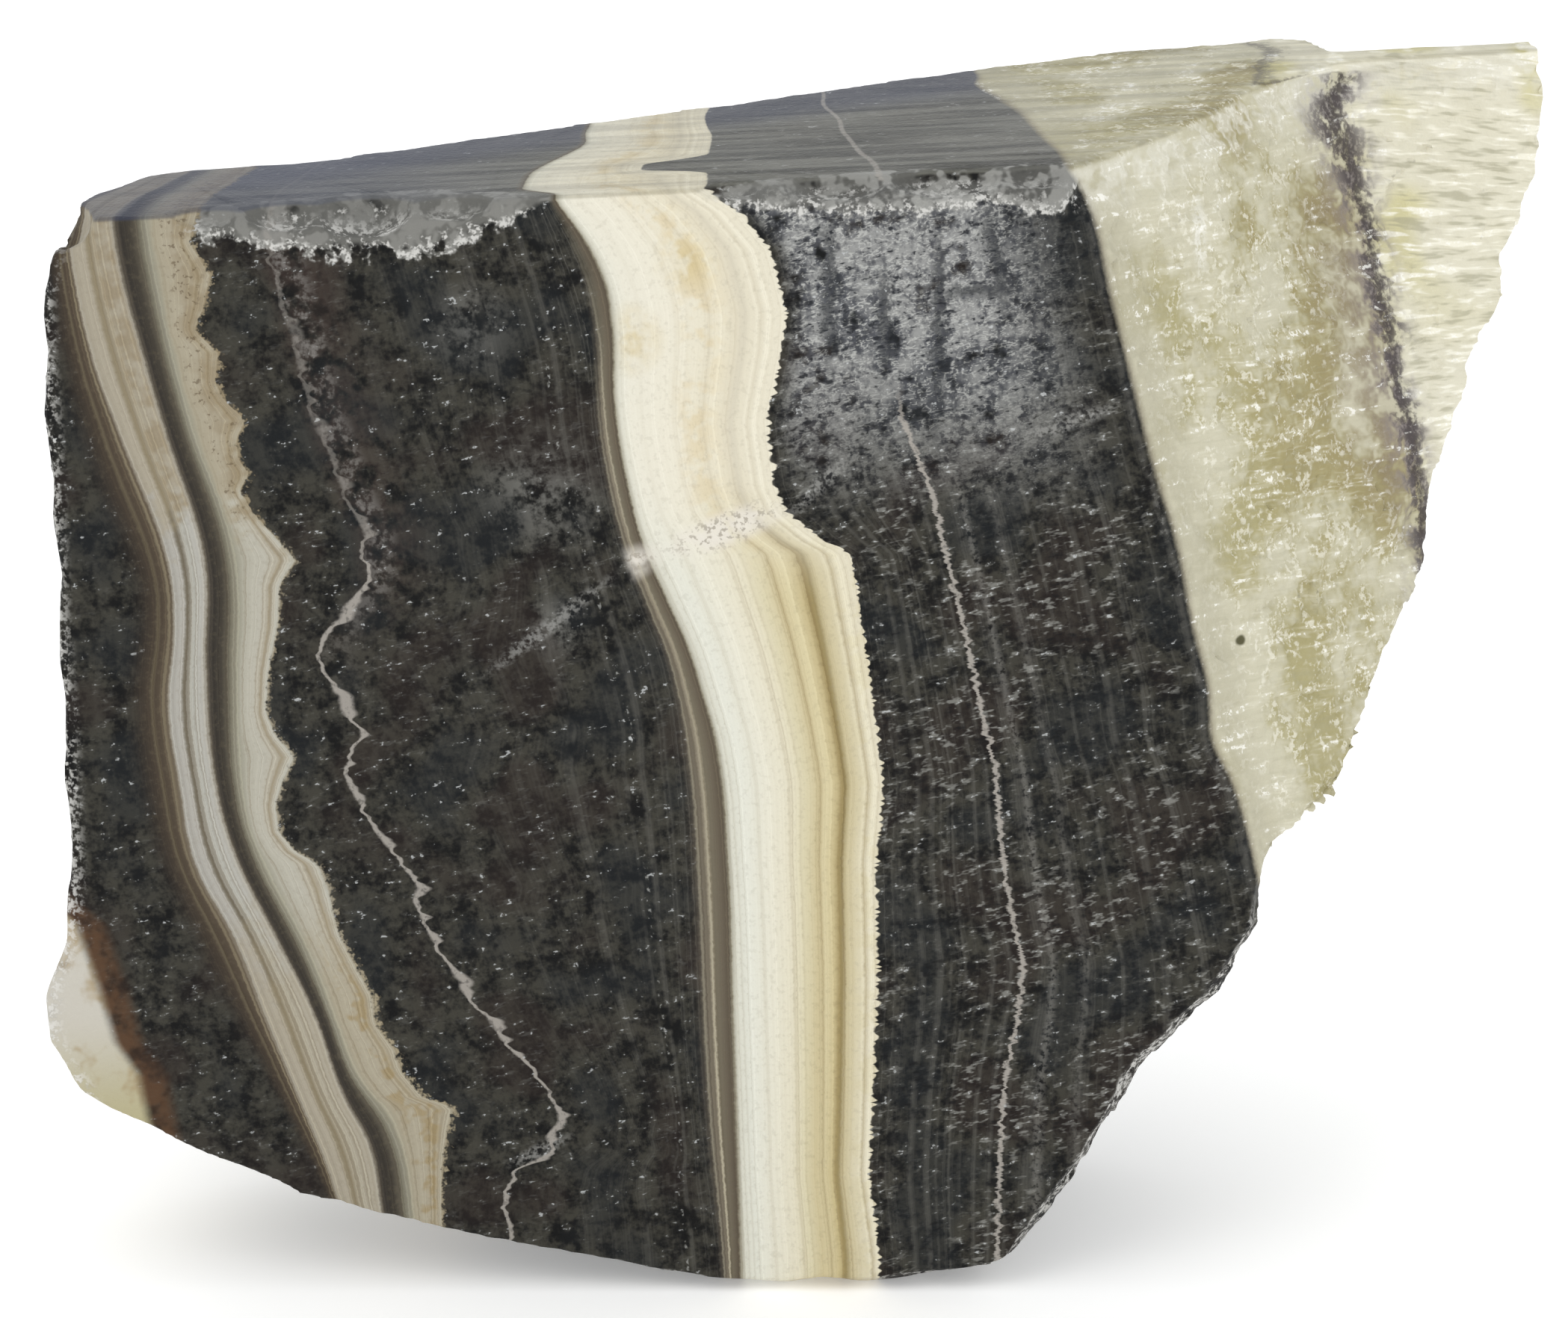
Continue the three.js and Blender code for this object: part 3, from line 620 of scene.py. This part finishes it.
def surfaceGroup():
    tree, given, result = newGroup("sawnAndBroken", patternInputs, {
        "Top": "Float", "Chipped": "Float", "Crushed": "Float", "Saw Marks": "Float",
    })
    wide, tall = stoneSetup["acrossSpan"], stoneSetup["heightSpan"]
    parts = split(tree, given["Place"])
    fine, medium = given["Fine"], given["Medium"]
    depth = calc(tree, "SUBTRACT", parts["Y"], stoneSetup["frontFace"])
    level = calc(tree, "MULTIPLY_ADD", parts["X"], stoneSetup["topClimb"], stoneSetup["topFace"])
    below = calc(tree, "SUBTRACT", level, parts["Z"])
    feed(tree, ease(tree, below, 0.35, 0.12), result["Top"])
    reach = curve(tree, share(tree, parts["X"], *wide), wide, crushedTop, crushedReach)
    # The curve gives a share of 4 mm, and the grain makes the chips 0.93 to 1.38 times as deep
    reach = times(tree, reach, ease(tree, medium, 0.34, 0.62, 3.7, 5.5))
    inside = calc(tree, "SUBTRACT", reach, calc(tree, "MAXIMUM", below, depth))
    feed(tree, ease(tree, inside, -0.15, 0.35), result["Chipped"])
    # Sugary white grains along the lower rim of the chips and on broken edges
    sugar = ease(tree, calc(tree, "MULTIPLY_ADD", medium, 0.5, fine), 0.68, 0.86)
    rim = times(tree, between(tree, inside, (-0.25, 0.1), (0.4, 1.0)), ease(tree, below, 0.5, 1.0))
    side = times(tree, between(tree, depth, (0.1, 0.4), (1.0, 3.0)), ease(tree, below, 0.5, 2.0),
                 ease(tree, given["Layer"], 11.0, 10.9))
    leftEdge = curve(tree, share(tree, parts["Z"], *tall), tall, leftRim, wide)
    fromLeft = calc(tree, "SUBTRACT", parts["X"], spread(tree, leftEdge, *wide))
    broken = calc(tree, "MAXIMUM", side, ease(tree, fromLeft, 1.9, 0.4))
    feed(tree, times(tree, calc(tree, "MAXIMUM", rim, broken), sugar), result["Crushed"])
    saw = grain(tree, stretched(tree, given["Place"], 0.07, 0.75, 1.7, stoneSetup["topClimb"]), 1.0)
    feed(tree, saw, result["Saw Marks"])
    return tree


surfaceTones = {
    "sawDark": "45443e", "sawLight": "74736b", "topReflection": "353a4e", "chip": "7b7a75",
    "chipDark": "504f4b", "chipLight": "9b9a95", "lobeStrip": "553c28", "lobeFoot": "beb9ae",
    "lobe": "aca481", "lobeTan": "9c8864", "vein": "a19b93", "paleSawDark": "b3b1a8",
    "paleSawLight": "e6e4da", "topLeftReflection": "3f4456", "sugarDark": "8d8c88", "sugarLight": "d6d4cf",
}
finish = {
    "topReflectionSlope": 0.36,         # the painted blue reflection along the back edge of the sawn top: how far it turns backwards,
    "topReflectionFrom": (-2.5, 3.5),   # and where it starts and is full
    "roughness": (0.6, 0.42),     # of the stone, and of its sawn top
    "glintGloss": 0.2,            # how much less rough a glint is
    "specular": 0.14,
    "bumpStrength": 0.3,
    "bumpDistance": 0.0003,
}


# The dark stone with its sawn top, and the chips along the top's front edge
def darkWithTop(tree, parts, medium, dark, surface, sawn):
    tones = surfaceTones
    darkTop = mixColour(tree, sawn, tones["sawDark"], tones["sawLight"])
    # Painted blue reflection along the back edge of the sawn top
    backEdge = calc(tree, "MULTIPLY_ADD", parts["X"], -finish["topReflectionSlope"], parts["Y"])
    reflectionMask = ease(tree, backEdge, *finish["topReflectionFrom"], 0.0, 0.75)
    darkTop = mixColour(tree, reflectionMask, darkTop, tones["topReflection"])
    base = mixColour(tree, calc(tree, "MULTIPLY", surface["Top"], 0.75), dark["Color"], darkTop)
    # Chips are grey, with dark and light patches on the right
    onRight = ease(tree, parts["X"], -2.0, 8.0, 0.35, 0.75)
    patches = mixColour(tree, ease(tree, medium, 0.46, 0.56), tones["chipDark"], tones["chipLight"])
    chipTone = mixColour(tree, onRight, tones["chip"], patches)
    return mixColour(tree, calc(tree, "MULTIPLY", surface["Chipped"], 0.8), base, chipTone)


# Pale lobe at the lower left, with a narrow brown strip beside it
def withLobe(tree, base, height, grains, lobe):
    tones = surfaceTones
    strip = between(tree, lobe, (-2.2, -0.9), (-0.1, 0.5))
    strip = times(tree, strip, ease(tree, grains["Medium"], 0.3, 0.6, 0.25, 0.85))
    base = mixColour(tree, strip, base, tones["lobeStrip"])
    lobeTone = mixColour(tree, ease(tree, height, 24.0, 15.0), tones["lobeFoot"], tones["lobe"])
    patches = ease(tree, grains["Clouds"], 0.46, 0.6, 0.0, 0.8)
    lobeTone = mixColour(tree, patches, lobeTone, tones["lobeTan"])
    return mixColour(tree, ease(tree, lobe, -0.3, 0.7), base, lobeTone)


# Veins: the first is faint near the top, and the second doesn't show there on the front
def withVeins(tree, base, height, fine, layers, top):
    vein1 = times(tree, layers["Vein 1"], ease(tree, height, 60.0, 53.0, 0.3, 0.9))
    shows = calc(tree, "MAXIMUM", ease(tree, height, 67.5, 64.0), top)
    vein = calc(tree, "MAXIMUM", vein1, times(tree, layers["Vein 2"], shows))
    vein = times(tree, vein, ease(tree, top, 0.0, 1.0, 1.0, 0.6))
    vein = times(tree, vein, ease(tree, fine, 0.3, 0.5, 0.45, 0.9))
    return mixColour(tree, vein, base, surfaceTones["vein"])


def bandedStoneMaterial():
    material = bpy.data.materials.new("bandedStone")
    material.use_nodes = True
    tree = material.node_tree
    shader = tree.nodes["Principled BSDF"]
    shader.location = (3000, 0)
    tree.nodes["Material Output"].location = (3300, 0)
    coordinates = addNode(tree, "TexCoord")
    mapping = addNode(tree, "Mapping", {"Vector": coordinates.outputs["Object"]})
    mapping.inputs["Scale"].default_value = (1 / mm, 1 / mm, 1 / mm)
    mapping.inputs["Location"].default_value = stoneSetup["drawingShift"]
    place = mapping.outputs[0]
    parts = split(tree, place)
    height = parts["Z"]
    grains = useGroup(tree, grainGroup(), {"Place": place})
    fine, medium = grains["Fine"], grains["Medium"]
    layers = useGroup(tree, layersGroup(), {"Place": place, "Fine": fine})
    patterns = {"Place": place, "Layer": layers["Layer"],
                **{name: grains[name] for name in patternNames if name != "Layer"}}
    dark = useGroup(tree, darkStoneGroup(), patterns)
    pale = useGroup(tree, paleStoneGroup(), patterns)
    bands = useGroup(tree, bandsGroup(), {**patterns, "Tooth": layers["Tooth"]})
    surface = useGroup(tree, surfaceGroup(), patterns)
    top = surface["Top"]
    isPale = ease(tree, layers["Layer"], 10.99, 11.02)
    # Streaks on the sawn top: plain on the dark stone, with a painted blue reflection along its back edge,
    # faint on the bands
    sawn = ease(tree, surface["Saw Marks"], 0.36, 0.64)
    base = darkWithTop(tree, parts, medium, dark, surface, sawn)
    base = mixColour(tree, bands["Mask"], base, bands["Color"])
    base = withLobe(tree, base, height, grains, layers["Lobe"])
    base = withVeins(tree, base, height, fine, layers, top)
    base = mixColour(tree, isPale, base, pale["Color"])
    light = calc(tree, "MAXIMUM", bands["Mask"], isPale)
    sawTone = mixColour(tree, sawn, surfaceTones["paleSawDark"], surfaceTones["paleSawLight"])
    base = mixColour(tree, times(tree, top, light, 0.6), base, sawTone, "MULTIPLY")
    # Painted blue reflection on the left part of the sawn top
    leftReflection = times(tree, top, ease(tree, parts["X"], -14.0, -34.0, 0.0, 0.55))
    base = mixColour(tree, leftReflection, base, surfaceTones["topLeftReflection"])
    # Sugary grains where the stone is crushed, fewer on the bands
    sugarTone = mixColour(tree, ease(tree, fine, 0.42, 0.6), surfaceTones["sugarDark"],
                          surfaceTones["sugarLight"])
    onChips = ease(tree, bands["Mask"], 0.0, 1.0, 0.75, 0.25)
    base = mixColour(tree, times(tree, surface["Crushed"], onChips), base, sugarTone)
    feed(tree, base, shader.inputs["Base Color"])
    glint = mixColour(tree, isPale, dark["Glint"], pale["Glint"])
    smooth = ease(tree, top, 0.0, 1.0, *finish["roughness"])
    feed(tree, calc(tree, "MULTIPLY_ADD", glint, -finish["glintGloss"], smooth), shader.inputs["Roughness"])
    shader.inputs["Specular IOR Level"].default_value = finish["specular"]
    # Fine relief, over the crystals and fibres that are in the mesh
    bump = addNode(tree, "Bump", {"Height": fine})
    bump.inputs["Strength"].default_value = finish["bumpStrength"]
    bump.inputs["Distance"].default_value = finish["bumpDistance"]
    feed(tree, bump.outputs[0], shader.inputs["Normal"])
    print("banded stone material made")
    return material


# The stone's mesh

def deselectAll():
    bpy.ops.object.select_all(action="DESELECT")


def activate(piece):
    deselectAll()
    piece.select_set(True)
    bpy.context.view_layer.objects.active = piece


def applyModifier(piece, kind, name, **settings):
    modifier = piece.modifiers.new(name, kind)
    for setting, value in settings.items():
        setattr(modifier, setting, value)
    bpy.ops.object.modifier_apply(modifier=name)


# Fills a vertex group with a weight worked out from each point's place in the drawing frame
def weightBy(piece, name, weightOf):
    group = piece.vertex_groups.new(name=name)
    shiftX, shiftY, shiftZ = stoneSetup["drawingShift"]
    for vertex in piece.data.vertices:
        x, y, z = (value / mm for value in vertex.co)
        weight = weightOf(x + shiftX, y + shiftY, z + shiftZ)
        if weight > 0.01:
            group.add([vertex.index], weight, "REPLACE")


def rise(value, low, high):
    part = min(1, max(0, (value - low) / (high - low)))
    return part * part * (3 - 2 * part)


def broken(x, y, z):
    behind = y - stoneSetup["frontFace"]
    below = stoneSetup["topFace"] + stoneSetup["topClimb"] * x - z
    return rise(behind, 0.1, 1.6) * rise(below, 0.1, 1.6) * rise(z, 3.3, 4.5)


def brokenRight(x, y, z):
    edge = 31.5 - 0.28 * (z - 33.5)
    return broken(x, y, z) * rise(x - edge, -1, 3) * rise(z, 30, 38)


def reliefTexture(name, kind, size, **settings):
    texture = bpy.data.textures.new(name, kind)
    texture.noise_scale = size * mm
    for setting, value in settings.items():
        setattr(texture, setting, value)
    return texture


def bandedCalcite():
    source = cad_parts["banded_calcite"]
    piece = bpy.data.objects.new("banded_stone", source.data.copy())
    bpy.context.scene.collection.objects.link(piece)
    piece.data.materials.clear()
    activate(piece)
    bpy.ops.object.mode_set(mode="EDIT")
    bpy.ops.mesh.select_all(action="SELECT")
    bpy.ops.mesh.remove_doubles(threshold=0.00001)
    bpy.ops.object.mode_set(mode="OBJECT")
    applyModifier(piece, "REMESH", "fineFaces", mode="VOXEL", voxel_size=stoneSetup["voxel"] * mm)
    print("stone remeshed:", len(piece.data.polygons), "faces")
    weightBy(piece, "broken", broken)
    weightBy(piece, "brokenRight", brokenRight)
    crystals = reliefTexture("crystals", "VORONOI", 2.6, color_mode="POSITION", noise_intensity=1.0)
    applyModifier(piece, "DISPLACE", "crystalSteps", texture=crystals, texture_coords="LOCAL",
                  strength=0.6 * mm, mid_level=0.75, vertex_group="broken")
    crumbs = reliefTexture("crumbs", "CLOUDS", 1.1, noise_depth=3)
    applyModifier(piece, "DISPLACE", "crumbs", texture=crumbs, texture_coords="LOCAL",
                  strength=0.45 * mm, mid_level=0.7, vertex_group="broken")
    # Fibres of the right face: the pattern is drawn out along a tilted, stretched empty
    bpy.ops.object.empty_add(location=(0, 0, 0), rotation=(0, math.radians(-15), 0))
    fibreGuide = bpy.context.object
    fibreGuide.scale = (5, 3, 1)
    bpy.context.view_layer.update()
    activate(piece)
    fibres = reliefTexture("fibres", "CLOUDS", 1.0, noise_depth=3)
    applyModifier(piece, "DISPLACE", "fibreRidges", texture=fibres, texture_coords="OBJECT",
                  texture_coords_object=fibreGuide, strength=0.4 * mm, mid_level=0.7,
                  vertex_group="brokenRight")
    bpy.data.objects.remove(fibreGuide)
    triangles = 2 * len(piece.data.polygons)
    applyModifier(piece, "DECIMATE", "fewerFaces", ratio=min(1, stoneSetup["mostTriangles"] / triangles))
    bpy.ops.object.shade_smooth_by_angle(angle=math.radians(35))
    piece.vertex_groups.clear()
    piece.data.materials.append(bandedStoneMaterial())
    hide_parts("banded_calcite")
    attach(piece, "root")
    print("banded stone made:", len(piece.data.polygons), "faces")
    return piece


# Floor, light and camera

roomSetup = {
    "floorSize": 6.0,
    "floorColour": "fbfaf8",
    "floorGlow": 0.25,
    "worldStrength": 1.0,
    "cameraTarget": (-1.37, -1.63, 39.3),
    "cameraDistance": 520,
    "cameraElevation": 17,
    "lens": 173,
}


def paleFloor():
    deselectAll()
    bpy.ops.mesh.primitive_plane_add(size=roomSetup["floorSize"], location=(0, 0, 0))
    floor = bpy.context.object
    floor.name = "floor"
    material = bpy.data.materials.new("paleFloor")
    material.use_nodes = True
    tree = material.node_tree
    shader = tree.nodes["Principled BSDF"]
    shader.inputs["Roughness"].default_value = 0.8
    shader.inputs["Specular IOR Level"].default_value = 0.2
    coordinates = addNode(tree, "TexCoord")
    cloud = grain(tree, coordinates.outputs["Object"], 8.0, 2.0)
    feed(tree, mixColour(tree, cloud, roomSetup["floorColour"], "f6f5f3"), shader.inputs["Base Color"])
    shader.inputs["Emission Color"].default_value = (1, 1, 1, 1)
    shader.inputs["Emission Strength"].default_value = roomSetup["floorGlow"]
    floor.data.materials.append(material)


def softbox(name, location, size, power, tint):
    bpy.ops.object.light_add(type="AREA", location=location)
    light = bpy.context.object
    light.name = name
    light.data.shape = "RECTANGLE"
    light.data.size, light.data.size_y = size
    light.data.energy = power
    light.data.color = tint
    towards = -light.location
    light.rotation_euler = towards.to_track_quat("-Z", "Y").to_euler()
    deselectAll()


def softLights():
    world = bpy.data.worlds.new("paleRoom")
    bpy.context.scene.world = world
    world.use_nodes = True
    background = world.node_tree.nodes["Background"]
    background.inputs["Color"].default_value = (0.96, 0.98, 1.0, 1)
    background.inputs["Strength"].default_value = roomSetup["worldStrength"]
    softbox("keyLight", (-0.55, -0.9, 1.1), (0.7, 0.7), 3, (1.0, 0.985, 0.96))
    softbox("fillLight", (0.8, -0.8, 0.6), (0.6, 0.6), 0.6, (0.97, 0.98, 1.0))


def photoCamera():
    x, y, z = (value * mm for value in roomSetup["cameraTarget"])
    angle = math.radians(roomSetup["cameraElevation"])
    away = roomSetup["cameraDistance"] * mm
    bpy.ops.object.camera_add(location=(x, y - away * math.cos(angle), z + away * math.sin(angle)),
                              rotation=(math.radians(90) - angle, 0, 0))
    camera = bpy.context.object
    camera.data.lens = roomSetup["lens"]
    camera.data.sensor_width = 36
    camera.data.clip_start = 0.05
    bpy.context.scene.camera = camera


photoCamera()
paleFloor()
softLights()
bandedCalcite()
bpy.context.scene.view_settings.view_transform = "Standard"
